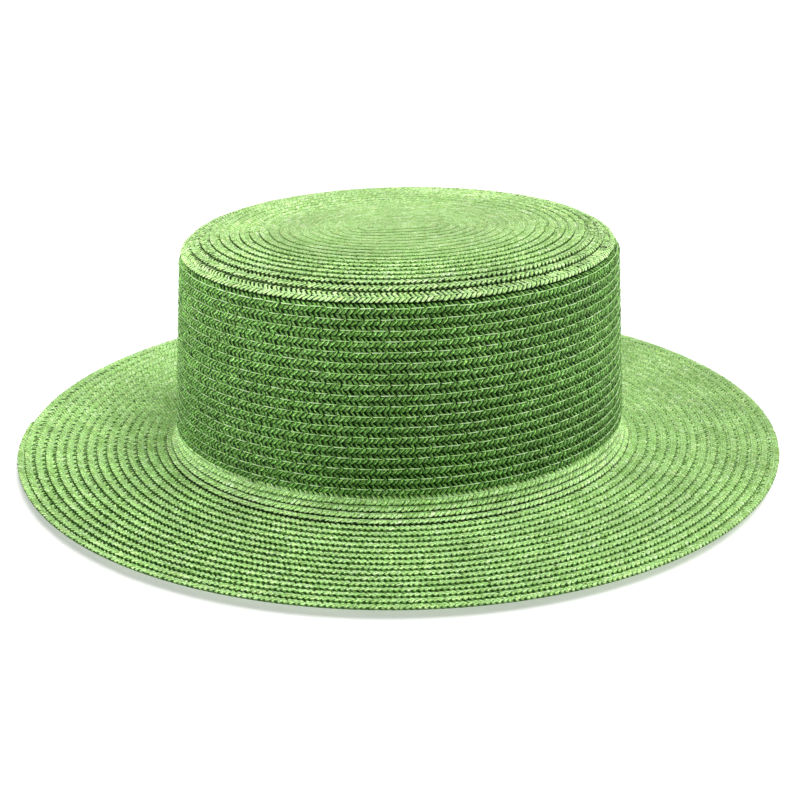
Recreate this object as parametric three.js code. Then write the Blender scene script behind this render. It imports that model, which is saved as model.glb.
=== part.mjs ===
// A straw boater hat: an oval crown with a flat tip, a nearly upright wall and a level brim, built
// up of rows of braid that lap over each other like shingles, each outer edge on top.
// Millimetres, +Z up, the long side of the oval along X. The hat stands on the brim's flat underside.
import * as THREE from "three";

// Crown
const crownLength = 199; // outside, at the foot, along X
const crownWidth = 173.5; // outside, at the foot, along Y
const crownHeight = 94.4; // from the brim's upper face to the top of the tip
const crownTaper = 6.7; // how much the radius shrinks from foot to top
const crownSlump = 0.8; // how far the crown has sunk at its -X end
const shoulderEase = 6.8; // length over which the slope at the shoulder dies away towards the tip
const creaseRadius = 6.5; // inside corner between wall and brim

// Brim
const brimWidth = 68.2; // from the crown's foot to the rim
const brimRise = 4; // how much higher the brim lies at the rim than at the foot
const levelShare = 0.28; // share of the brim width that is dead level, from the foot outward

// Braid
const strawThickness = 2; // sewn braid, two layers at the laps
const lapHeight = 0.6; // how far each row's outer edge stands proud of the next row
const tipPitch = 4.2; // visible width of a row on the tip
const shoulderPitch = 5.4; // the wide row that turns the shoulder
const wallPitch = 4.28;
const creasePitch = 2.9; // rows are sewn tighter round the inside corner
const brimPitch = 4.23;
const shoulderRows = 2; // rows of the tip that already turn down, next to the wide one
const creaseRows = 4;
const creaseOuterShare = 0.7; // share of the crease's arc that the tight rows cover

// The last row, a single layer sewn under the brim's outer edge
const rimReveal = 3.6; // how far it stands out from under the brim
const rimTuck = 1.8; // how far it reaches in under the brim
const rimRowThickness = 1.2;
const rimSeat = 1.1; // depth of the recess in the brim's underside that takes its inner edge

// Fits and fineness
const seamGap = 0.3; // between two sections that are sewn edge to edge
const walkStep = 0.1; // length of one step along the meridian
const ovalSides = 44; // straight sides round the oval
const plainSpans = { tip: 2, shoulder: 3, wall: 1, crease: 3, rise: 2 }; // facets of the inner faces

const footLong = crownLength / 2;
const footShort = crownWidth / 2;
const ovalCore = footLong - footShort; // half length of the line that the oval is drawn round
const rimShort = footShort + brimWidth;
const brimShort = rimShort - rimReveal; // where the brim proper ends
const seatShort = brimShort - rimTuck - seamGap; // where the recess for the last row starts
const wallLean = Math.atan2(crownTaper, crownHeight);
const wallSlope = Math.PI / 2 - wallLean;
const brimLevel = strawThickness; // the brim's upper face, where it is level
const seatLevel = brimLevel + brimRise - strawThickness + rimSeat; // the roof of that recess
const creaseTangent = creaseRadius * Math.tan(wallSlope / 2); // where wall and brim run into the arc
const wallTop = brimLevel + crownHeight - shoulderEase * shoulderFall();

// Height lost over the shoulder, as a share of shoulderEase: the integral of sin(wallSlope e^-u)
function shoulderFall() {
  const reach = 12; // the slope is gone by then
  const step = walkStep / shoulderEase;
  let sum = 0;
  for (let u = step / 2; u < reach; u += step) sum += Math.sin(wallSlope * Math.exp(-u)) * step;
  return sum;
}

function wallRho(z) {
  return footShort - Math.tan(wallLean) * (z - brimLevel);
}

// The meridian is the outer face cut at the oval's short side: rho is the distance from the oval's
// core and z the height. It is made of four stretches, each a list of points going outward.
// The tip is walked from the wall's top inward while the slope dies away, and then turned round.
function tipStretch() {
  const points = [];
  let rho = wallRho(wallTop);
  let z = wallTop;
  for (let walked = 0; rho > 0; walked += walkStep) {
    points.push({ rho, z });
    const slope = wallSlope * Math.exp(-walked / shoulderEase);
    rho -= Math.cos(slope) * walkStep;
    z += Math.sin(slope) * walkStep;
  }
  points.push({ rho: 0, z });
  return points.reverse();
}

function wallStretch() {
  const foot = brimLevel + creaseTangent * Math.cos(wallLean);
  const count = Math.ceil((wallTop - foot) / walkStep);
  return Array.from({ length: count }, (_, i) => {
    const z = wallTop + ((foot - wallTop) * (i + 1)) / count;
    return { rho: wallRho(z), z };
  });
}

function creaseStretch() {
  const count = Math.ceil((creaseRadius * wallSlope) / walkStep);
  return Array.from({ length: count }, (_, i) => {
    const turn = wallSlope * (1 - (i + 1) / count);
    return {
      rho: footShort + creaseTangent - creaseRadius * Math.sin(turn),
      z: brimLevel + creaseRadius * (1 - Math.cos(turn)),
    };
  });
}

// The brim is level, then rises as a parabola, and is level again over the recess at its edge
function brimStretch() {
  const start = footShort + creaseTangent;
  const riseStart = footShort + levelShare * brimWidth;
  const count = Math.ceil((brimShort - start) / walkStep);
  return Array.from({ length: count }, (_, i) => {
    const rho = start + ((brimShort - start) * (i + 1)) / count;
    const share = THREE.MathUtils.clamp((rho - riseStart) / (seatShort - riseStart), 0, 1);
    return { rho, z: brimLevel + brimRise * share * share };
  });
}

// The whole meridian with the length along it, and the length at which each stretch ends
function measureMeridian(stretches) {
  const points = [];
  const ends = [];
  let along = 0;
  for (const stretch of stretches) {
    for (const { rho, z } of stretch) {
      const before = points[points.length - 1];
      if (before) along += Math.hypot(rho - before.rho, z - before.z);
      points.push({ rho, z, along });
    }
    ends.push(along);
  }
  return { points, ends };
}

const meridian = measureMeridian([tipStretch(), wallStretch(), creaseStretch(), brimStretch()]);
const [tipEnd, wallEnd, creaseEnd, brimEnd] = meridian.ends;

// The place on the meridian at a length from the centre, moved out along the normal by lift
function placeAt(along, lift) {
  let low = 0;
  let high = meridian.points.length - 1;
  while (high - low > 1) {
    const middle = (low + high) >> 1;
    if (meridian.points[middle].along <= along) low = middle;
    else high = middle;
  }
  const a = meridian.points[low];
  const b = meridian.points[high];
  const length = b.along - a.along;
  const share = (along - a.along) / length;
  const normalRho = -(b.z - a.z) / length;
  const normalZ = (b.rho - a.rho) / length;
  return {
    rho: a.rho + (b.rho - a.rho) * share + normalRho * lift,
    z: a.z + (b.z - a.z) * share + normalZ * lift,
  };
}

// Where the rows change their width, as lengths from the centre of the tip
const shoulderEdge = tipEnd - shoulderPitch;
const shoulderStart = shoulderEdge - shoulderRows * tipPitch;
const creaseOuter = wallEnd + creaseOuterShare * (creaseEnd - wallEnd);
const creaseInner = creaseOuter - creaseRows * creasePitch;
const seatStart = brimEnd - (brimShort - seatShort);

// Row edges from start to end, as near to the pitch as a whole number of rows allows
function pitchedRows(start, end, pitch) {
  return evenEdges(start, end, Math.max(1, Math.round((end - start) / pitch)));
}

function evenEdges(start, end, count) {
  return Array.from({ length: count + 1 }, (_, i) => start + ((end - start) * i) / count);
}

// Lapped rows: every row starts low at its inner edge and ends proud at its outer edge
function lappedFace(edges) {
  return edges.slice(1).flatMap((edge, i) => [placeAt(edges[i], 0), placeAt(edge, lapHeight)]);
}

// The plain inner face, from its outer edge back to its inner one
function plainFace(edges) {
  return edges.toReversed().map((edge) => placeAt(edge, -strawThickness));
}

// A ring of points round the oval at one place of the meridian, with the slump of the crown
function ovalRing(place) {
  const ring = [];
  const slump = (crownSlump * Math.max(0, place.z - brimLevel)) / crownHeight;
  for (let i = 0; i < ovalSides; i += 1) {
    const turn = (2 * Math.PI * i) / ovalSides;
    const x = (place.rho + ovalCore) * Math.cos(turn);
    ring.push(x, place.rho * Math.sin(turn), place.z + (slump * x) / footLong);
  }
  return ring;
}

// A closed body: the loop carried round the oval. A capped loop is open towards the axis and is
// closed there by a flat fan at its first and its last ring.
function ovalBody(loop, capped) {
  const positions = loop.flatMap(ovalRing);
  const indices = [];
  const bands = capped ? loop.length - 1 : loop.length;
  for (let band = 0; band < bands; band += 1) {
    const next = (band + 1) % loop.length;
    for (let i = 0; i < ovalSides; i += 1) {
      const j = (i + 1) % ovalSides;
      const a = band * ovalSides + i;
      const b = band * ovalSides + j;
      const c = next * ovalSides + i;
      const d = next * ovalSides + j;
      indices.push(a, c, b, b, c, d);
    }
  }
  if (capped) {
    const last = loop.length - 1;
    const topCentre = positions.length / 3;
    positions.push(0, 0, loop[0].z, 0, 0, loop[last].z);
    for (let i = 0; i < ovalSides; i += 1) {
      const j = (i + 1) % ovalSides;
      indices.push(topCentre, i, j);
      indices.push(topCentre + 1, last * ovalSides + j, last * ovalSides + i);
    }
  }
  const geometry = new THREE.BufferGeometry();
  geometry.setAttribute("position", new THREE.Float32BufferAttribute(positions, 3));
  geometry.setIndex(indices);
  geometry.computeVertexNormals();
  return geometry;
}

function straw(colour, roughness) {
  return new THREE.MeshStandardMaterial({ color: colour, roughness, metalness: 0, flatShading: true });
}

function addPiece(group, name, geometry, material) {
  const mesh = new THREE.Mesh(geometry, material);
  mesh.name = name;
  group.add(mesh);
}

// The tip: a short straight strip in the middle and rows round it
function crownTip() {
  const rows = pitchedRows(tipPitch / 2, shoulderStart, tipPitch);
  const inner = evenEdges(rows[0], shoulderStart, plainSpans.tip);
  return ovalBody([...lappedFace(rows), ...plainFace(inner)], true);
}

// The shoulder: rows that turn down more and more, the last of them the widest of the hat
function crownShoulder() {
  const start = shoulderStart + seamGap;
  const rows = [...evenEdges(start, shoulderEdge, shoulderRows), tipEnd];
  const inner = evenEdges(start, tipEnd, plainSpans.shoulder);
  return ovalBody([...lappedFace(rows), ...plainFace(inner)], false);
}

function crownWall() {
  const rows = pitchedRows(tipEnd + seamGap, creaseInner, wallPitch);
  const inner = evenEdges(rows[0], creaseInner, plainSpans.wall);
  return ovalBody([...lappedFace(rows), ...plainFace(inner)], false);
}

// The foot: the tightly sewn rows that turn from the wall into the brim
function crownFoot() {
  const start = creaseInner + seamGap;
  const rows = evenEdges(start, creaseOuter, creaseRows);
  const inner = evenEdges(start, creaseOuter, plainSpans.crease);
  return ovalBody([...lappedFace(rows), ...plainFace(inner)], false);
}

// The brim's underside is level at first, then rises with the rows, and ends with the recess
function brim() {
  const start = creaseOuter + seamGap;
  const rows = pitchedRows(start, brimEnd, brimPitch);
  const riseStart = brimEnd + rimReveal - (1 - levelShare) * brimWidth;
  const rise = evenEdges(riseStart, seatStart, plainSpans.rise).slice(0, -1);
  const recess = [
    { rho: brimShort, z: seatLevel },
    { rho: seatShort, z: seatLevel },
    { rho: seatShort, z: seatLevel - rimSeat },
  ];
  const underside = plainFace([start, creaseEnd, ...rise]);
  return ovalBody([...lappedFace(rows), ...recess, ...underside], false);
}

// The last row starts in the recess, comes out from under the brim and ends a little proud
function rimRow() {
  const upper = seatLevel - seamGap;
  const outer = upper + lapHeight;
  const inner = brimShort - rimTuck;
  const loop = [
    { rho: inner, z: upper },
    { rho: brimShort, z: upper },
    { rho: rimShort, z: outer },
    { rho: rimShort, z: outer - rimRowThickness },
    { rho: brimShort, z: upper - rimRowThickness },
    { rho: inner, z: upper - rimRowThickness },
  ];
  return ovalBody(loop, false);
}

const hat = new THREE.Group();
addPiece(hat, "crown_tip", crownTip(), straw(0xb4dc8c, 0.75));
addPiece(hat, "crown_shoulder", crownShoulder(), straw(0xb4dc8c, 0.75));
addPiece(hat, "crown_wall", crownWall(), straw(0x86b45c, 0.8));
addPiece(hat, "crown_foot", crownFoot(), straw(0x9cc874, 0.8));
addPiece(hat, "brim", brim(), straw(0xacd684, 0.75));
addPiece(hat, "rim_row", rimRow(), straw(0x9cc874, 0.75));

export default hat;
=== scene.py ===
import math

import bpy
import numpy as np
from mathutils import Matrix, Vector


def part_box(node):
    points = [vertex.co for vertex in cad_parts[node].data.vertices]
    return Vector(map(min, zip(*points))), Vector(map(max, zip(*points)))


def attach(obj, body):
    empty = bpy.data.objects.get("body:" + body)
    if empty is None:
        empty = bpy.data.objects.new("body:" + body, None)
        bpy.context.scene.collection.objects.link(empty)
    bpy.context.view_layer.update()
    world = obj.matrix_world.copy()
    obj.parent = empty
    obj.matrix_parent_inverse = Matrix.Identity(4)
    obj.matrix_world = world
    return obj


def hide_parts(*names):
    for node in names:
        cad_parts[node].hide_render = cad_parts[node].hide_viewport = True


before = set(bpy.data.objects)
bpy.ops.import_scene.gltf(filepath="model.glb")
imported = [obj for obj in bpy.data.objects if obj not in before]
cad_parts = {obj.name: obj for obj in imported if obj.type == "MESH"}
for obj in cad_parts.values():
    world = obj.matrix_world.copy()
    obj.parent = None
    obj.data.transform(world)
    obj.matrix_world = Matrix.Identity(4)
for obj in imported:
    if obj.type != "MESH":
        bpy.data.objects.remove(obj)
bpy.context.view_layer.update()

# A straw boater: one plaited paper-straw braid, sewn in a spiral from the middle of the tip to the rim.
# Metres, +Z up, the long side of the oval along X, the hat standing on its brim.

scene = bpy.context.scene
mm = 0.001

# The oval and its meridian, which runs from the middle of the tip down the wall and out to the rim.
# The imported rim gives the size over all.
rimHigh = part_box("rim_row")[1]

hat = {
    "rimLong": rimHigh[0],  # half length over all, along X
    "rimShort": rimHigh[1],  # half width over all, along Y
    "level": 2.0 * mm,  # the brim's upper face where it is level
    "footLong": 99.5 * mm,  # half length of the crown at its foot
    "footShort": 86.75 * mm,  # half width there
    "crownHeight": 94.4 * mm,
    "crownTaper": 6.7 * mm,  # how far the wall leans in over that height
    "crownSlump": 0.8 * mm,  # how far the crown has sunk at its -X end
    "shoulderEase": 6.8 * mm,  # length over which the slope at the shoulder dies away
    "creaseRadius": 6.5 * mm,
    "levelShare": 0.28,  # share of the brim that is level beside the crown
    "brimRise": 2.4 * mm,
    "rimLevel": 5.7 * mm,  # the last stretch of the brim is level again
    "step": 0.1 * mm,  # of the walk over the tip
    "walk": 1.6,  # length of that walk, in half widths of the crown
    "spare": 8 * mm,  # how far the meridian runs on past the centre and past the rim
    "points": {"wall": 700, "crease": 120, "brim": 800},
    "startCore": 0.25,  # how round the oval is at the first strip: 0 a straight strip, 1 an ellipse
    "startReach": 40 * mm,  # distance from the centre from which it is an ellipse
}

rows = {  # visible widths of the rows where they cross the front, from the rim inward
    "rim": 3.9 * mm,
    "brim": [4.3 * mm] * 14,
    "crease": [2.9 * mm, 2.9 * mm, 2.9 * mm, 4.2 * mm],
    "wall": [4.31 * mm] * 18,
    "shoulder": 5.4 * mm,
    "tip": 4.2 * mm,
    "tipLeast": 0.2,  # share of a row that may be left over at the middle of the tip
    "frontTurn": math.radians(262.0),  # where the widths were read
    "endTurn": math.radians(171.0),  # where the braid ends, on the rim
    "backTurn": math.radians(95.0),  # where the sections of the braid meet
    "shoulderRows": 3,  # rows between the tip and the wall
    "brimPart": 5,  # rows in each of the brim's two inner parts
    "paintedShadeTurn": 0.4,  # turns over which the wall's painted shade sets in and fades at a joint
    "closeFrom": 0.6,  # share of the last turn from which its edge leaves the round rim
    "closeBy": 1.5 * mm,
    "closeTurn": 0.04,  # turns over which the spiral becomes the round rim
    "tuck": 0.5 * mm,  # how far the very end is drawn in
    "tuckTurn": 0.03,  # turns over which it is
}

braid = {
    "width": 6.6 * mm,  # across, hidden part included
    "thickness": 0.95 * mm,
    "stitch": 2.12 * mm,  # length of one plait repeat
    "countedAt": 0.67,  # place across the braid where the stitches have that length
    "countStep": 0.002,  # turns from one point of the count to the next
    "lip": 0.75 * mm,  # height of the outer edge over the meridian
    "tilt": 1.45 * mm,  # how much lower the inner edge lies
    "flatTilt": 0.15,  # share of the tilt that is left where there is no relief
    "samples": 3,  # points along one stitch on the show side
    "endEase": 2,  # stitches over which the slant dies away at both ends
    "overEdge": 0.03,  # how far uneven strands may pass the outer edge, in widths
    "flatUntil": 7.5,  # turns up to which the rows lie pressed flat
    "flatGone": 15.0,  # turns from which they have their full relief
    "flatRelief": 0.12,
    "pressedTurn": math.radians(25.0),  # where the brim has been pressed flattest
    "pressed": 0.55,
    "pressedPower": 1.5,  # how fast that fades round the oval
    "pressedEase": 2,  # turns over which it sets in
    "unevenLift": 0.09 * mm,
    "unevenAcross": 0.016,
    "seed": 11,
    # Rows of points across the show side: place across, lead in stitches, height of the strand and
    # of the gap beside it, in thicknesses
    "show": [
        (0.00, -0.40, 0.00, 0.00),
        (0.32, 0.40, 0.00, -0.45),
        (0.50, -0.05, 0.18, -0.70),
        (0.65, -0.42, -0.08, -0.38),
        (0.74, -0.34, 0.24, 0.00),
        (0.85, -0.05, 0.40, 0.16),
        (0.95, 0.28, 0.30, 0.02),
        (1.00, 0.42, -0.10, -0.45),
    ],
    "back": [0.97, 0.80, 0.55, 0.30, 0.03],  # places across of the back's rows of points
}


def smooth(value):
    # Eases a share from 0 to 1: 3 s^2 - 2 s^3
    share = np.clip(value, 0, 1)
    return share * share * (3 - 2 * share)


def walkOverTip(h, slope):
    # From the wall's top inward, the slope dies away as slope * exp(-length / ease). The sums of its
    # cosine and sine give how far inward and how far up each step ends.
    walked = np.arange(0, h["footShort"] * h["walk"], h["step"]) + h["step"] / 2
    steep = slope * np.exp(-walked / h["shoulderEase"])
    inward = np.concatenate([[0], np.cumsum(np.cos(steep) * h["step"])])
    upward = np.concatenate([[0], np.cumsum(np.sin(steep) * h["step"])])
    return inward, upward


def meridianOfHat(h):
    # Distances from the axis and heights, going outward: the tip, the wall as a straight line, the
    # crease as an arc that touches wall and brim, and the brim, which is level, rises with the square
    # of the share of its slope, and is level again. Returned with the length along them.
    level, radius, points = h["level"], h["creaseRadius"], h["points"]
    lean = math.atan2(h["crownTaper"], h["crownHeight"])
    slope = math.pi / 2 - lean
    tangent = radius * math.tan(slope / 2)

    inward, upward = walkOverTip(h, slope)
    wallTop = level + h["crownHeight"] - upward[-1]
    tipRho = h["footShort"] - math.tan(lean) * (wallTop - level) - inward
    keep = tipRho > -h["spare"]
    tipRho = tipRho[keep][::-1]
    tipZ = (wallTop + upward)[keep][::-1]

    wallZ = np.linspace(wallTop, level + tangent * math.cos(lean), points["wall"])[1:]
    wallRho = h["footShort"] - math.tan(lean) * (wallZ - level)
    turn = slope * (1 - np.linspace(0, 1, points["crease"])[1:])
    creaseRho = h["footShort"] + tangent - radius * np.sin(turn)
    creaseZ = level + radius * (1 - np.cos(turn))

    brimRho = np.linspace(creaseRho[-1], h["rimShort"] + h["spare"], points["brim"])[1:]
    riseStart = h["footShort"] + h["levelShare"] * (h["rimShort"] - h["footShort"])
    riseEnd = h["rimShort"] - h["rimLevel"]
    share = np.clip((brimRho - riseStart) / (riseEnd - riseStart), 0, 1)
    brimZ = level + h["brimRise"] * share**2

    rho = np.concatenate([tipRho, wallRho, creaseRho, brimRho])
    z = np.concatenate([tipZ, wallZ, creaseZ, brimZ])
    along = np.concatenate([[0], np.cumsum(np.hypot(np.diff(rho), np.diff(z)))])
    along -= np.interp(0, tipRho, along[:len(tipRho)])  # zero at the oval's core
    rimEnd = np.interp(h["rimShort"], brimRho, along[-len(brimRho):])
    return rho, z, along, rimEnd


meridianRho, meridianZ, meridianAlong, rimEnd = meridianOfHat(hat)
normalRho = -np.gradient(meridianZ, meridianAlong)
normalZ = np.gradient(meridianRho, meridianAlong)
oval = hat["rimLong"] - hat["rimShort"]


def rowEdges():
    # Outer edges of the rows where they cross the front, as lengths from the centre: the widths
    # are laid off from the rim inward until the tip is full.
    edges = [rimEnd]
    for width in [rows["rim"]] + rows["brim"] + rows["crease"] + rows["wall"] + [rows["shoulder"]]:
        edges.append(edges[-1] - width)
    while edges[-1] > rows["tip"] * rows["tipLeast"]:
        edges.append(edges[-1] - rows["tip"])
    return np.array(edges[::-1])


frontEdges = rowEdges()
frontLead = (rows["frontTurn"] - rows["endTurn"]) / (2 * math.pi)  # turns from the front to the end
turnsInAll = len(frontEdges) - 1 + frontLead
print("rows", len(frontEdges), "turns", round(turnsInAll, 2))

# Turns at which the sections start
brimStart = len(frontEdges) - 2 - len(rows["brim"])
footStart = brimStart - len(rows["crease"])
wallStart = footStart - len(rows["wall"])
shoulderStart = wallStart - rows["shoulderRows"]


def outerEdge(turns):
    # Length along the meridian of the braid's outer edge after so many turns. The front's edges
    # are joined by straight pieces; the last turn follows the rim, leaves it by closeBy where it
    # goes under the end, and the very end is drawn in by tuck.
    spiral = np.interp(turns, np.arange(len(frontEdges)), frontEdges)
    spiral = np.where(turns < 0, frontEdges[0] + turns * rows["tip"], spiral)
    left = np.maximum(turnsInAll - turns, 0)
    leave = rows["closeBy"] * smooth((left - rows["closeFrom"]) / (1 - rows["closeFrom"]))
    drawn = rows["tuck"] * (1 - np.clip(left / rows["tuckTurn"], 0, 1)) ** 2
    onRim = np.clip((1 + rows["closeTurn"] - left) / rows["closeTurn"], 0, 1)
    return spiral + (rimEnd - leave - drawn - spiral) * onRim


def placeOnHat(turns, across, lift):
    # A point of the braid: turns fix the angle round the oval, across (0 inner edge, 1 outer edge)
    # the length along the meridian, lift the height over it. The oval is the circle of radius rho
    # with oval * core added along X, where core = cos / sqrt(cos^2 + (roundness * sin)^2). Last the
    # crown's slump is added, which grows with the height and with x.
    along = outerEdge(turns) - braid["width"] * (1 - across)
    rho = np.interp(along, meridianAlong, meridianRho)
    z = np.interp(along, meridianAlong, meridianZ)
    outRho = np.interp(along, meridianAlong, normalRho)
    outZ = np.interp(along, meridianAlong, normalZ)
    size = np.hypot(outRho, outZ)
    rho = rho + lift * outRho / size
    z = z + lift * outZ / size
    angle = rows["endTurn"] + 2 * np.pi * (turnsInAll - turns)
    roundness = hat["startCore"] + (1 - hat["startCore"]) * smooth(rho / hat["startReach"])
    core = np.cos(angle) / np.sqrt(np.cos(angle) ** 2 + (roundness * np.sin(angle)) ** 2)
    x = rho * np.cos(angle) + oval * core
    share = np.maximum(z - hat["level"], 0) / hat["crownHeight"]
    z = z + hat["crownSlump"] * share * x / hat["footLong"]
    return np.stack([x, rho * np.sin(angle), z], axis=-1)


def stitchesOfBraid():
    # Stitch count as a function of turns: the arc length of the line at countedAt across the braid,
    # divided by the stitch length.
    turns = np.arange(0, turnsInAll, braid["countStep"])
    points = placeOnHat(turns, braid["countedAt"], 0.0)
    lengths = np.concatenate([[0], np.cumsum(np.linalg.norm(np.diff(points, axis=0), axis=1))])
    return turns, lengths / braid["stitch"], lengths[-1]


tableTurns, tableStitches, braidLength = stitchesOfBraid()
stitchesInAll = int(tableStitches[-1])
print("braid", round(braidLength, 2), "m, stitches", stitchesInAll)


def jointNear(turn):
    # The number of turns at which the braid passes the back of the hat, nearest to a given one
    lead = (rows["backTurn"] - rows["endTurn"]) / (2 * math.pi)
    return turnsInAll - lead + round(turn + lead - turnsInAll)


def stitchAtBack(turn):
    # The whole stitch nearest to the joint at the back
    return int(round(float(np.interp(jointNear(turn), tableTurns, tableStitches))))


def paintedShadeAt(turns):
    # Share of the wall's painted shade, a darker tint for the upright rows, which get less light:
    # smooth((turns - joint) / turns of the change + 1/2) at the wall's first joint less the same at its
    # last one
    entered, left = [smooth((turns - jointNear(start)) / rows["paintedShadeTurn"] + 0.5)
                     for start in (wallStart, footStart)]
    return entered - left


def reliefAt(turns):
    # Share of the full relief: rises smoothly between flatUntil and flatGone turns, and on the
    # brim it is less by pressed * ((1 + cos(angle from pressedTurn)) / 2)^pressedPower
    share = smooth((turns - braid["flatUntil"]) / (braid["flatGone"] - braid["flatUntil"]))
    angle = rows["endTurn"] + 2 * np.pi * (turnsInAll - turns) - braid["pressedTurn"]
    ease = braid["pressedEase"]
    onBrim = smooth((turns - turnsInAll + len(rows["brim"]) + ease) / ease)
    pressed = braid["pressed"] * onBrim * (0.5 + 0.5 * np.cos(angle)) ** braid["pressedPower"]
    return (braid["flatRelief"] + (1 - braid["flatRelief"]) * share) * (1 - pressed)


def heightOfBraid(turns, across):
    # Height of the braid's middle layer over the meridian: lip - tilt * (1 - across), with a smaller
    # tilt where the rows lie flat
    tilt = braid["tilt"] * (braid["flatTilt"] + (1 - braid["flatTilt"]) * reliefAt(turns))
    return braid["lip"] - tilt * (1 - across)


showRows = np.array(braid["show"])
backRows = np.array(braid["back"])
chance = np.random.default_rng(braid["seed"])
unevenLift = chance.normal(0, braid["unevenLift"], (stitchesInAll * braid["samples"] + 1, len(showRows)))
unevenAcross = chance.normal(0, braid["unevenAcross"], unevenLift.shape)
unevenAcross[:, 0] = 0


def sideOfBraid(turns, across, lift, below, u, v):
    # One side's points, and the values that each carries: its UV, the distance in millimetres from the edge
    # of the row lying on top, the share of the full relief and that of the wall's painted shade
    values = {"u": u, "v": v, "below": below / mm, "relief": reliefAt(turns), "paintedShade": paintedShadeAt(turns)}
    side = {name: (value + 0 * across).reshape(-1) for name, value in values.items()}
    side["points"] = placeOnHat(turns, across, lift).reshape(-1, 3)
    return side


def showSide(first, count):
    # Three points a stitch (gap, strand, strand), whose lead follows the plait's slant. Lift =
    # height of the braid + relief * (height of the strand or the gap + unevenness). The row on top
    # is the one before, so below = outer edge - outer edge one turn ago - width * (1 - across).
    samples = braid["samples"]
    sample = first * samples + np.arange(count * samples + 1)[:, None]
    fromEnd = np.minimum(sample, stitchesInAll * samples - sample) / samples
    lead = showRows[:, 1] * np.clip(fromEnd / braid["endEase"], 0, 1)
    turns = np.interp(sample / samples + lead, tableStitches, tableTurns)
    across = np.clip(showRows[:, 0] + unevenAcross[sample[:, 0]], 0, 1 + braid["overEdge"])
    strand = np.where(sample % samples == 0, showRows[:, 3], showRows[:, 2]) * braid["thickness"]
    lift = heightOfBraid(turns, across) + reliefAt(turns) * (strand + unevenLift[sample[:, 0]])
    below = outerEdge(turns) - outerEdge(turns - 1) - braid["width"] * (1 - across)
    return sideOfBraid(turns, across, lift, below, sample / samples, showRows[:, 0])


def backSide(first, count):
    # One point a stitch, a thickness below the braid's middle layer. The row that covers the back
    # is the one after, so below = outer edge one turn on - outer edge - width * across.
    stitch = first + np.arange(count + 1)[:, None]
    turns = np.interp(stitch, tableStitches, tableTurns)
    across = np.broadcast_to(backRows, (count + 1, len(backRows)))
    lift = heightOfBraid(turns, across) - braid["thickness"]
    below = outerEdge(turns + 1) - outerEdge(turns) - braid["width"] * across
    return sideOfBraid(turns, across, lift, below, stitch, 2 - across)


def joinEdges(show, back):
    # Triangles between an edge of the show side, three points a stitch, and one of the back, one
    # point a stitch: a fan round each point of the back, and one triangle from fan to fan
    samples = braid["samples"]
    centre = back[(np.arange(len(show) - 1) + samples // 2) // samples]
    fans = np.stack([show[:-1], centre, show[1:]], axis=1)
    between = show[samples - samples // 2::samples]
    joins = np.stack([back[:-1], back[1:], between], axis=1)
    return np.concatenate([fans, joins])


def gridQuads(index):
    # Quads of a grid of point numbers, wound so that the first axis crossed with the second
    # points out of the show side.
    return np.stack([index[:-1, :-1], index[1:, :-1], index[1:, 1:], index[:-1, 1:]], -1).reshape(-1, 4)


def braidBetween(name, first, last):
    # The braid from stitch first to stitch last as a closed flat tube: two grids of quads, joined at
    # both edges and capped at both ends
    show = showSide(first, last - first)
    back = backSide(first, last - first)
    both = {key: np.concatenate([show[key], back[key]]) for key in show}
    showIndex = np.arange(len(show["u"])).reshape(-1, len(showRows))
    backIndex = len(show["u"]) + np.arange(len(back["u"])).reshape(-1, len(backRows))
    quads = np.concatenate([gridQuads(showIndex), gridQuads(backIndex)])
    tris = np.concatenate([joinEdges(showIndex[:, -1], backIndex[:, 0]),
                           joinEdges(showIndex[:, 0], backIndex[:, -1])[:, ::-1]])
    caps = [np.concatenate([showIndex[0], backIndex[0]])[::-1],
            np.concatenate([showIndex[-1], backIndex[-1]])]
    piece = meshPiece(name, both["points"], quads, tris, caps, np.stack([both["u"], both["v"]], 1))
    for key in ("below", "relief", "paintedShade"):
        layer = piece.data.attributes.new(key, "FLOAT", "POINT")
        layer.data.foreach_set("value", both[key].astype(np.float32))
    return piece


thread = {
    "every": 3,  # stitches of the braid to one stitch of thread
    "across": 0.66,
    "radius": 0.21 * mm,
    "height": 0.22 * mm,  # of the middle over the straw
    "dip": 0.55 * mm,  # of the ends into the straw
    "gap": 0.16,  # share of a stitch left free at either end
    "begins": (0.3, 1.0),  # shares of that gap between which a stitch begins
    "ends": (0.0, 0.7),  # and ends
    "wander": 0.012,
    "rings": [(0.0, 1.0, 0.7), (0.1, 0.0, 1.0), (0.9, 0.0, 1.0), (1.0, 1.0, 0.7)],  # length, dip, radius
    "corners": [(-1.0, 0.0), (0.0, 1.0), (1.0, 0.0), (0.0, -1.0)],
    "seed": 5,
}


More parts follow.
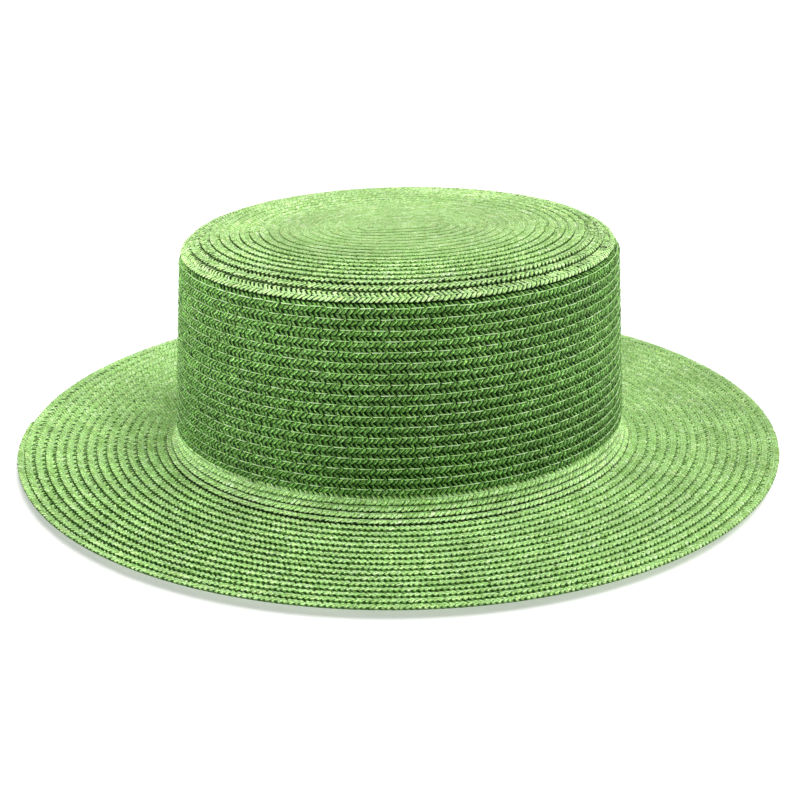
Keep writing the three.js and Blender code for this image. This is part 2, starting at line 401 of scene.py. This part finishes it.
def threadBetween(name, first, last):
    # Sewing stitches as closed square tubes of four rings. Each ring lies at its share of the
    # stitch's length, at height over the straw less its share of the dip, with its share of the radius.
    every = thread["every"]
    starts = np.arange(math.ceil(first / every) * every, last - every + 1, every)
    luck = np.random.default_rng(thread["seed"] + first)
    share, low, thick = np.array(thread["rings"]).T
    side, up = np.array(thread["corners"]).T
    begin = starts + every * thread["gap"] * luck.uniform(*thread["begins"], len(starts))
    end = starts + every * (1 - thread["gap"] * luck.uniform(*thread["ends"], len(starts)))
    stitch = begin[:, None] + (end - begin)[:, None] * share
    turns = np.interp(stitch, tableStitches, tableTurns)
    across = thread["across"] + luck.normal(0, thread["wander"], (len(starts), 1)) + 0 * stitch
    across = across + luck.normal(0, thread["wander"], (len(starts), 1)) * (share - 0.5)
    lift = heightOfBraid(turns, across) + reliefAt(turns) * thread["height"] - thread["dip"] * low
    radius = thick[:, None] * thread["radius"]
    ringAcross = across[:, :, None] + side * radius / braid["width"]
    verts = placeOnHat(turns[:, :, None] + 0 * ringAcross, ringAcross, lift[:, :, None] + up * radius)
    index = np.arange(ringAcross.size).reshape(ringAcross.shape)
    around = np.concatenate([index, index[:, :, :1]], axis=2)
    sides = np.stack([around[:, :-1, :-1], around[:, 1:, :-1], around[:, 1:, 1:], around[:, :-1, 1:]], -1)
    caps = np.stack([index[:, 0, ::-1], index[:, -1, :]], 1)
    quads = np.concatenate([sides.reshape(-1, 4), caps.reshape(-1, 4)])[:, ::-1]
    uv = np.stack([stitch[:, :, None] + 0 * ringAcross, side + 0 * ringAcross], axis=-1)
    return meshPiece(name, verts.reshape(-1, 3), quads, np.zeros((0, 3), int), [], uv.reshape(-1, 2))


def meshPiece(name, verts, quads, tris, polygons, uv):
    # Quads, triangles and larger polygons, one after the other in the mesh; uv holds one pair a vertex
    counts = np.concatenate([np.full(len(quads), 4), np.full(len(tris), 3), [len(p) for p in polygons]])
    counts = counts.astype(np.int32)
    starts = np.concatenate([[0], np.cumsum(counts)[:-1]]).astype(np.int32)
    loops = np.concatenate([quads.reshape(-1), tris.reshape(-1)] + polygons).astype(np.int32)
    mesh = bpy.data.meshes.new(name)
    mesh.vertices.add(len(verts))
    mesh.vertices.foreach_set("co", verts.astype(np.float32).reshape(-1))
    mesh.loops.add(len(loops))
    mesh.loops.foreach_set("vertex_index", loops)
    mesh.polygons.add(len(counts))
    mesh.polygons.foreach_set("loop_start", starts)
    mesh.polygons.foreach_set("loop_total", counts)
    mesh.polygons.foreach_set("use_smooth", np.ones(len(counts), dtype=bool))
    mesh.update(calc_edges=True)
    layer = mesh.uv_layers.new(name="UVMap")
    layer.data.foreach_set("uv", uv[loops].astype(np.float32).reshape(-1))
    mesh.validate()
    piece = bpy.data.objects.new(name, mesh)
    scene.collection.objects.link(piece)
    print(name, len(mesh.polygons), "faces")
    return piece


# Pairs named Edge or Range hold the two values between which a shade changes
straw = {
    "tint": (0.95, 0.97, 0.93),
    "paintedShadeTint": (0.230, 0.325, 0.183),  # painted shade: darker tint of the upright rows, which get less light
    "shades": [(0.0, (0.39, 0.66, 0.20)), (0.3, (0.47, 0.77, 0.27)), (0.7, (0.53, 0.84, 0.34)),
               (0.9, (0.60, 0.86, 0.33)), (1.0, (0.68, 0.94, 0.50))],
    "bands": 1.53,  # bands across the braid; in each, every stitch has a shade of its own
    "dark": (0.014, 0.075, 0.005),  # painted shade: colour of the gaps, the holes and the line under each lip
    "uneven": 0.3,  # how far, in stitches, the strands' edges wander
    "wander": (0.9, 3.0),  # how often they do, along one stitch and across the braid
    "gapAcross": [(0.0, 0.08), (0.34, 0.20), (0.50, 0.15), (0.60, 0.07), (0.72, 0.04), (0.86, 0.04),
                  (0.94, 0.12), (1.0, 0.30)],  # half width of the gap's painted shade, in stitches
    "gapRelief": (0.1, 0.9, 0.1, 1.0),  # range of the relief, and the share of the width at its ends
    "gapSpecks": (0.2, 0.8, 0.4, 1.6),  # range of the specks, and the share of the width at its ends
    "gapEdge": (0.5, 1.3),  # in half widths
    "hole": (0.42, 0.068, 0.26),  # holes of the plait, with painted shade in them: place across, half size across, half size along in holeEvery
    "holeEvery": 2.0,  # stitches from one hole to the next
    "holeEdge": (0.6, 1.1),  # in half sizes
    "holeShade": 0.85,
    "holeRange": (0.15, 0.40),  # relief between which the holes open
    "holeRelief": (0.6, 0.9, 1.0, 0.3),  # range of the relief, and the share of the dark at its ends
    "leftShadowRange": (-125 * mm, -85 * mm),  # painted shadow on the brim's left, which widens the holes: places along X, at the first the holes are widest
    "leftShadowWider": 2.3,
    "leftShadowShift": 0.05,  # how much farther out a wide hole lies
    "lipShadowEdge": (0.03, 0.36),  # painted shadow under each lip: millimetres below the row on top
    "lipShadowDark": 0.80,
    "foldPlace": 0.36,  # place of the strand's fold in a stitch, along which a highlight is painted
    "foldEdge": (0.04, 0.16),
    # painted highlight on the fold: how much brighter it is
    "foldHighlight": 0.12,
    "flatShade": 0.78,  # brightness where the rows lie flat
    "lowShadeRange": (8 * mm, 84 * mm),  # painted shade low down, where less light reaches: heights between which the straw reaches its full brightness
    "lowShade": 1.0,  # painted shade: brightness low down
    "fibres": (15.0, 4.0),  # streaks along one stitch and across the braid
    "fibreShade": (0.3, 0.7, 0.26),  # range of the noise, and how far the brightness goes up and down
    "specks": (5.0, 13.0),  # the same for the specks
    "speckShade": (0.35, 0.65, 0.42),
    "mottle": 45.0,  # blotches to the metre
    "mottleShade": (0.35, 0.65, 0.10),
    "roughness": 0.68,
    "specular": 0.12,
    "bump": 0.6,
    "bumpDepth": 0.35 * mm,
    "bumpFine": 0.4,  # share of the streaks and specks in it
}

# The upright rows get less light: wider, darker painted shade in the gaps, a broad painted shadow under
# every lip, painted shade low down and a stronger painted highlight on the fold
wallStraw = dict(
    straw,
    tint=(1.08, 1.06, 1.08),
    dark=(0.004, 0.024, 0.001),
    gapAcross=[(0.0, 0.10), (0.34, 0.21), (0.50, 0.20), (0.60, 0.18), (0.66, 0.30), (0.74, 0.10),
               (0.86, 0.10), (0.94, 0.18), (1.0, 0.34)],
    lipShadowEdge=(0.10, 0.85),
    lipShadowDark=0.95,
    foldHighlight=1.6,
    uneven=0.4,
    fibreShade=(0.3, 0.7, 0.45),
    speckShade=(0.35, 0.65, 0.60),
    lowShade=0.82,
)
shoulderStraw = dict(
    straw,
    tint=(1.05, 1.03, 1.05),
    dark=wallStraw["dark"],
    gapAcross=wallStraw["gapAcross"],
    foldHighlight=0.3,
)
tipStraw = dict(
    straw,
    tint=(1.06, 1.03, 1.05),
    dark=(0.014, 0.070, 0.005),
    gapAcross=[(0.0, 0.08), (0.34, 0.13), (0.50, 0.11), (0.60, 0.05), (0.72, 0.03), (0.86, 0.03),
               (0.94, 0.05), (1.0, 0.14)],
    holeShade=0.1,
    lipShadowEdge=(0.05, 0.34),
    lipShadowDark=0.95,
)
footStraw = dict(
    straw,
    tint=(1.00, 0.99, 1.00),
    dark=wallStraw["dark"],
    gapAcross=[(0.0, 0.08), (0.34, 0.20), (0.50, 0.15), (0.60, 0.07), (0.72, 0.04), (0.90, 0.07),
               (0.955, 0.22), (0.985, 0.50)],
    lipShadowEdge=(0.10, 0.60),
    lipShadowDark=0.95,
)


def addNode(tree, kind, inputs=None, **settings):
    # A node with its settings; a socket among its inputs is linked, a plain value is set
    node = tree.nodes.new(kind)
    for key, value in settings.items():
        setattr(node, key, value)
    for key, value in (inputs or {}).items():
        if isinstance(value, bpy.types.NodeSocket):
            tree.links.new(value, node.inputs[key])
        else:
            node.inputs[key].default_value = value
    return node


def maths(tree, operation, *values):
    # One step of arithmetic
    return addNode(tree, "ShaderNodeMath", dict(enumerate(values)), operation=operation).outputs[0]


def product(tree, first, *others):
    # All the values multiplied
    for other in others:
        first = maths(tree, "MULTIPLY", first, other)
    return first


def fromPlace(tree, value, place):
    # How far the value's fraction is from a place between 0 and 1
    return maths(tree, "ABSOLUTE", maths(tree, "SUBTRACT", maths(tree, "FRACT", value), place))


def fromWhole(tree, value):
    # How far the value is from the nearest whole number
    return maths(tree, "SUBTRACT", 0.5, fromPlace(tree, value, 0.5))


def spread(tree, value, fromLow, fromHigh, toLow=0.0, toHigh=1.0):
    # Eases from toLow to toHigh while the value goes from fromLow to fromHigh
    node = addNode(tree, "ShaderNodeMapRange", {"Value": value, "From Min": fromLow, "From Max": fromHigh,
                                                "To Min": toLow, "To Max": toHigh})
    node.interpolation_type = "SMOOTHSTEP"
    return node.outputs["Result"]


def varied(tree, noise, low, high, amount):
    # Brightness from 1 - amount to 1 + amount while the noise goes from low to high
    return spread(tree, noise, low, high, 1 - amount, 1 + amount)


def ramp(tree, value, stops):
    # Straight pieces between the stops, which hold a colour or a plain number
    node = addNode(tree, "ShaderNodeValToRGB", {"Fac": value})
    elements = node.color_ramp.elements
    while len(elements) < len(stops):
        elements.new(0.5)
    for element, (place, colour) in zip(elements, stops):
        element.position = place
        element.color = (*colour, 1.0) if isinstance(colour, tuple) else (colour, colour, colour, 1.0)
    return node.outputs["Color"]


def mixColour(tree, share, first, second):
    # The first colour at share 0, the second at share 1
    node = tree.nodes.new("ShaderNodeMix")
    node.data_type = "RGBA"
    for key, value in ((0, share), (6, first), (7, second)):
        if isinstance(value, bpy.types.NodeSocket):
            tree.links.new(value, node.inputs[key])
        else:
            node.inputs[key].default_value = (*value, 1.0)
    return node.outputs[2]


def flatNoise(tree, u, v, alongStitch, acrossBraid, detail=2.0):
    # Noise that follows the braid, so many waves along one stitch and so many across
    at = addNode(tree, "ShaderNodeCombineXYZ", {"X": maths(tree, "MULTIPLY", u, alongStitch),
                                                "Y": maths(tree, "MULTIPLY", v, acrossBraid)})
    return addNode(tree, "ShaderNodeTexNoise", {"Vector": at.outputs[0], "Scale": 1.0, "Detail": detail},
                   noise_dimensions="2D").outputs["Fac"]


def newMaterial(name, s):
    # A material with its two constant values set
    material = bpy.data.materials.new(name)
    material.use_nodes = True
    shader = material.node_tree.nodes["Principled BSDF"]
    shader.inputs["Roughness"].default_value = s["roughness"]
    shader.inputs["Specular IOR Level"].default_value = s["specular"]
    return material, material.node_tree, shader


def readStraw(tree, s):
    # What the straw's patterns read: place on the hat, u in stitches, v across (2 - across on the
    # back), the values that each point carries, and three noises that follow the braid
    coordinates = tree.nodes.new("ShaderNodeTexCoord")
    place = addNode(tree, "ShaderNodeSeparateXYZ", {"Vector": coordinates.outputs["Object"]})
    uv = addNode(tree, "ShaderNodeSeparateXYZ", {"Vector": coordinates.outputs["UV"]})
    u, v = uv.outputs["X"], uv.outputs["Y"]
    at = {name: addNode(tree, "ShaderNodeAttribute", attribute_name=name).outputs["Fac"]
          for name in ("below", "relief", "paintedShade")}
    at.update(place=coordinates.outputs["Object"], x=place.outputs["X"], z=place.outputs["Z"], u=u, v=v)
    at["streak"] = flatNoise(tree, u, v, *s["fibres"])
    at["speck"] = flatNoise(tree, u, v, *s["specks"])
    wander = maths(tree, "SUBTRACT", flatNoise(tree, u, v, *s["wander"]), 0.5)
    at["wandered"] = maths(tree, "ADD", u, maths(tree, "MULTIPLY", wander, 2 * s["uneven"]))
    onBack = maths(tree, "ABSOLUTE", maths(tree, "SUBTRACT", v, 1.0))
    at["across"] = maths(tree, "SUBTRACT", 1.0, onBack)
    return at


def strandColour(tree, at, s):
    # A shade picked by the numbers of the stitch and the band, times the tint, which darkens to the wall's
    # painted shade, times the brightness: streaks, blotches and specks, dimmer where the rows lie flat,
    # darker low down by painted shade, and brighter on the fold by a painted highlight
    band = maths(tree, "FLOOR", maths(tree, "MULTIPLY", at["v"], s["bands"]))
    number = addNode(tree, "ShaderNodeCombineXYZ", {"X": maths(tree, "FLOOR", at["u"]), "Y": band})
    pick = addNode(tree, "ShaderNodeTexWhiteNoise", {"Vector": number.outputs[0]}, noise_dimensions="2D")
    colour = ramp(tree, pick.outputs["Value"], s["shades"])
    tint = mixColour(tree, at["paintedShade"], s["tint"], s["paintedShadeTint"])
    tinted = addNode(tree, "ShaderNodeVectorMath", {0: colour, 1: tint}, operation="MULTIPLY").outputs[0]
    blotch = addNode(tree, "ShaderNodeTexNoise", {"Vector": at["place"], "Scale": s["mottle"],
                                                  "Detail": 3.0}).outputs["Fac"]
    fold = fromPlace(tree, at["wandered"], s["foldPlace"])
    bright = product(
        tree,
        varied(tree, at["streak"], *s["fibreShade"]),
        varied(tree, blotch, *s["mottleShade"]),
        varied(tree, at["speck"], *s["speckShade"]),
        spread(tree, at["relief"], 0.0, 1.0, s["flatShade"], 1.0),
        spread(tree, at["z"], *s["lowShadeRange"], s["lowShade"], 1.0),
        spread(tree, fold, *s["foldEdge"], 1 + s["foldHighlight"], 1.0),
    )
    return addNode(tree, "ShaderNodeVectorMath", {0: tinted, "Scale": bright}, operation="SCALE").outputs[0]


def gapShade(tree, at, s):
    # Painted shade in the gaps: 1 where the strands part, which is where u is near a whole number: the half
    # width is the ramp's across the braid, times its shares for the relief and the specks
    halfWidth = product(
        tree,
        ramp(tree, at["across"], s["gapAcross"]),
        spread(tree, at["relief"], *s["gapRelief"]),
        spread(tree, at["speck"], *s["gapSpecks"]),
    )
    near, far = [maths(tree, "MULTIPLY", halfWidth, share) for share in s["gapEdge"]]
    return spread(tree, fromWhole(tree, at["wandered"]), near, far, 1.0, 0.0)


def holeShade(tree, at, s):
    # Painted shade in the plait's holes: an ellipse in u and v at every second stitch, sqrt((along /
    # half)^2 + (across / half)^2). It opens with the relief, fades where the relief is full, and is wider
    # where a painted shadow falls on the brim's left.
    place, halfAcross, halfAlong = s["hole"]
    # Painted shadow on the brim's left: the holes widen and move out towards -X
    leftShadow = spread(tree, at["x"], *s["leftShadowRange"], 1.0, 0.0)
    wider = spread(tree, leftShadow, 0.0, 1.0, 1.0, s["leftShadowWider"])
    halfAcross = maths(tree, "MULTIPLY", wider, halfAcross)
    middle = spread(tree, leftShadow, 0.0, 1.0, place, place + s["leftShadowShift"])
    nearest = fromWhole(tree, maths(tree, "DIVIDE", at["u"], s["holeEvery"]))
    along = maths(tree, "DIVIDE", nearest, halfAlong)
    across = maths(tree, "DIVIDE", maths(tree, "SUBTRACT", at["across"], middle), halfAcross)
    squares = [maths(tree, "POWER", value, 2.0) for value in (along, across)]
    away = maths(tree, "SQRT", maths(tree, "ADD", *squares))
    return product(
        tree,
        spread(tree, away, *s["holeEdge"], s["holeShade"], 0.0),
        spread(tree, at["relief"], *s["holeRange"]),
        maths(tree, "MAXIMUM", leftShadow, spread(tree, at["relief"], *s["holeRelief"])),
    )


def strawMaterial(name, s):
    # The strands' colour, mixed with the dark colour of painted shade by the largest of three shares: the
    # gap between the strands, the hole beside them, and the painted shadow line close below the row on top.
    # The bump is bumpFine * (streaks + specks) - gap.
    material, tree, shader = newMaterial(name, s)
    at = readStraw(tree, s)
    gap = gapShade(tree, at, s)
    hole = holeShade(tree, at, s)
    # A painted shadow close below the lip of the row on top
    lipShadow = product(tree, spread(tree, at["below"], *s["lipShadowEdge"], 1.0, 0.0), at["relief"],
                       s["lipShadowDark"])
    dark = maths(tree, "MAXIMUM", maths(tree, "MAXIMUM", gap, hole), lipShadow)
    colour = mixColour(tree, dark, strandColour(tree, at, s), s["dark"])
    tree.links.new(colour, shader.inputs["Base Color"])
    fine = maths(tree, "MULTIPLY", maths(tree, "ADD", at["streak"], at["speck"]), s["bumpFine"])
    bump = addNode(tree, "ShaderNodeBump", {"Strength": s["bump"], "Distance": s["bumpDepth"],
                                            "Height": maths(tree, "SUBTRACT", fine, gap)})
    tree.links.new(bump.outputs["Normal"], shader.inputs["Normal"])
    return material


sewing = {
    "shades": [(0.0, (0.46, 0.80, 0.27)), (0.6, (0.60, 0.90, 0.40)), (1.0, (0.72, 0.96, 0.54))],
    "twist": 3.2,  # turns of the ply to one stitch of the braid
    "slant": 0.5,  # turns that its line falls back from the thread's middle to its side
    "lineWidth": 0.25,  # half width of the line between the plies, in turns
    "lineShade": 0.72,
    "roughness": 0.55,
    "specular": 0.15,
}


def threadMaterial(name, s):
    # A shade picked by the stitch's number, darker within lineWidth of the middle of each turn,
    # where turn = twist * u + slant * v
    material, tree, shader = newMaterial(name, s)
    coordinates = tree.nodes.new("ShaderNodeTexCoord")
    uv = addNode(tree, "ShaderNodeSeparateXYZ", {"Vector": coordinates.outputs["UV"]})
    number = maths(tree, "FLOOR", maths(tree, "DIVIDE", uv.outputs["X"], float(thread["every"])))
    pick = addNode(tree, "ShaderNodeTexWhiteNoise", {"W": number}, noise_dimensions="1D")
    colour = ramp(tree, pick.outputs["Value"], s["shades"])
    turn = maths(tree, "ADD", maths(tree, "MULTIPLY", uv.outputs["X"], s["twist"]),
                 maths(tree, "MULTIPLY", uv.outputs["Y"], s["slant"]))
    line = spread(tree, fromPlace(tree, turn, 0.5), 0.0, s["lineWidth"], s["lineShade"], 1.0)
    lit = addNode(tree, "ShaderNodeVectorMath", {0: colour, "Scale": line}, operation="SCALE").outputs[0]
    tree.links.new(lit, shader.inputs["Base Color"])
    return material


def makeBraid():
    # Each section is a piece of braid and one of thread, between whole stitches at the back
    sections = [
        ("tip", 0.0, "crown_tip", tipStraw),
        ("shoulder", shoulderStart, "crown_shoulder", shoulderStraw),
        ("wall_upper", wallStart, "crown_wall", wallStraw),
        ("wall_lower", (wallStart + footStart) / 2, "crown_wall", wallStraw),
        ("foot", footStart, "crown_foot", footStraw),
        ("brim_inner", brimStart, "brim", straw),
        ("brim_middle", brimStart + rows["brimPart"], "brim", straw),
        ("brim_outer", brimStart + 2 * rows["brimPart"], "brim", straw),
        ("rim", turnsInAll - 1, "rim_row", straw),
    ]
    cuts = [0] + [stitchAtBack(section[1]) for section in sections[1:]] + [stitchesInAll]
    sewn = threadMaterial("sewing_thread", sewing)
    materials = {}
    for (name, _, node, look), first, last in zip(sections, cuts[:-1], cuts[1:]):
        slot = "straw_" + name.split("_")[0]
        if slot not in materials:
            materials[slot] = strawMaterial(slot, look)
        for piece, material in ((braidBetween("braid_" + name, first, last), materials[slot]),
                                (threadBetween("thread_" + name, first, last), sewn)):
            piece.data.materials.append(material)
            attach(piece, "root")
            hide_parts(node)


makeBraid()

# Camera at the photograph's angle: it looks along +Y turned by the hat's own turn in the picture
camera = {
    "elevation": 21.08,
    "distance": 594.8 * mm,
    "turn": 7.85,
    "aimHeight": 42.6 * mm,
    "pixels": 800,  # width of the photograph
    "focalPixels": 1344.35,  # focal length in its pixels
    "centre": (400.36, 344.93),  # its pixel at which the aim lies
    "sensor": 36.0,
    "clip": (0.01, 20),
}


def makeCamera(c):
    # Elevation and turn give the direction from the aim to the eye, and the shift puts the aim at
    # the pixel centre
    data = bpy.data.cameras.new("camera")
    data.sensor_width = c["sensor"]
    data.lens = c["focalPixels"] * c["sensor"] / c["pixels"]
    data.shift_x = (c["pixels"] / 2 - c["centre"][0]) / c["pixels"]
    data.shift_y = (c["centre"][1] - c["pixels"] / 2) / c["pixels"]
    data.clip_start, data.clip_end = c["clip"]
    eye = bpy.data.objects.new("camera", data)
    scene.collection.objects.link(eye)
    up, turn = math.radians(c["elevation"]), math.radians(-c["turn"])
    offset = Vector((0, -math.cos(up), math.sin(up))) * c["distance"]
    offset.rotate(Matrix.Rotation(turn, 3, "Z"))
    eye.location = Vector((0, 0, c["aimHeight"])) + offset
    eye.rotation_euler = (-offset).to_track_quat("-Z", "Y").to_euler()
    scene.camera = eye
    print("camera", round(data.lens, 1), "mm lens")


studio = {
    "surround": (0.13, 0.44),  # strength of the surround in front of the hat and behind it
    "surroundRange": (-0.9, 0.1),  # directions between which it changes, along towards
    "towards": (-0.2, 0.98, 0.0),
    "overhead": (0.1, 0.6, 0.15),  # heights between which the surround fades, and what is left
    "suns": {  # strength, spread in degrees, and direction of the soft lights
        "top": (3.05, 42.0, (0.22, -0.18, 1.0)),
        "left": (3.8, 25.0, (-1.0, 0.0, 0.03)),
        "right": (1.9, 25.0, (1.0, 0.0, 0.05)),
    },
}
floorLook = {
    "half": 6.0,
    "white": 0.8,
    "glow": 0.4,  # the floor is lit from below, like a light table
    "roughness": 0.9,
    "specular": 0.0,
}


def makeSurround(s):
    # Strength = surround along the direction towards, times a share that falls with the height
    world = bpy.data.worlds.new("studio")
    scene.world = world
    world.use_nodes = True
    tree = world.node_tree
    tree.nodes["Background"].inputs["Color"].default_value = (1, 1, 1, 1)
    direction = tree.nodes.new("ShaderNodeTexCoord").outputs["Generated"]
    turned = addNode(tree, "ShaderNodeVectorMath", {0: direction, 1: s["towards"]}, operation="DOT_PRODUCT")
    up = addNode(tree, "ShaderNodeSeparateXYZ", {"Vector": direction}).outputs["Z"]
    low, high, share = s["overhead"]
    strength = product(tree, spread(tree, turned.outputs["Value"], *s["surroundRange"], *s["surround"]),
                       spread(tree, up, low, high, 1.0, share))
    tree.links.new(strength, tree.nodes["Background"].inputs["Strength"])


def makeFloor(s):
    # A level square under the hat, with a glow of its own
    half = s["half"]
    mesh = bpy.data.meshes.new("floor")
    corners = [(-half, -half, 0), (half, -half, 0), (half, half, 0), (-half, half, 0)]
    mesh.from_pydata(corners, [], [(0, 1, 2, 3)])
    floor = bpy.data.objects.new("floor", mesh)
    scene.collection.objects.link(floor)
    material, tree, shader = newMaterial("floor", s)
    shader.inputs["Base Color"].default_value = (s["white"], s["white"], s["white"], 1)
    shader.inputs["Emission Color"].default_value = (1, 1, 1, 1)
    shader.inputs["Emission Strength"].default_value = s["glow"]
    mesh.materials.append(material)


def addSun(name, energy, spreadAngle, towards):
    # A light that comes from the direction towards
    light = bpy.data.lights.new(name, "SUN")
    light.energy = energy
    light.angle = math.radians(spreadAngle)
    lamp = bpy.data.objects.new(name, light)
    lamp.rotation_euler = (-Vector(towards)).to_track_quat("-Z", "Y").to_euler()
    scene.collection.objects.link(lamp)


makeCamera(camera)
makeSurround(studio)
makeFloor(floorLook)
for sunName, values in studio["suns"].items():
    addSun(sunName, *values)
scene.view_settings.view_transform = "Standard"
print("studio with", len(studio["suns"]), "soft lights")
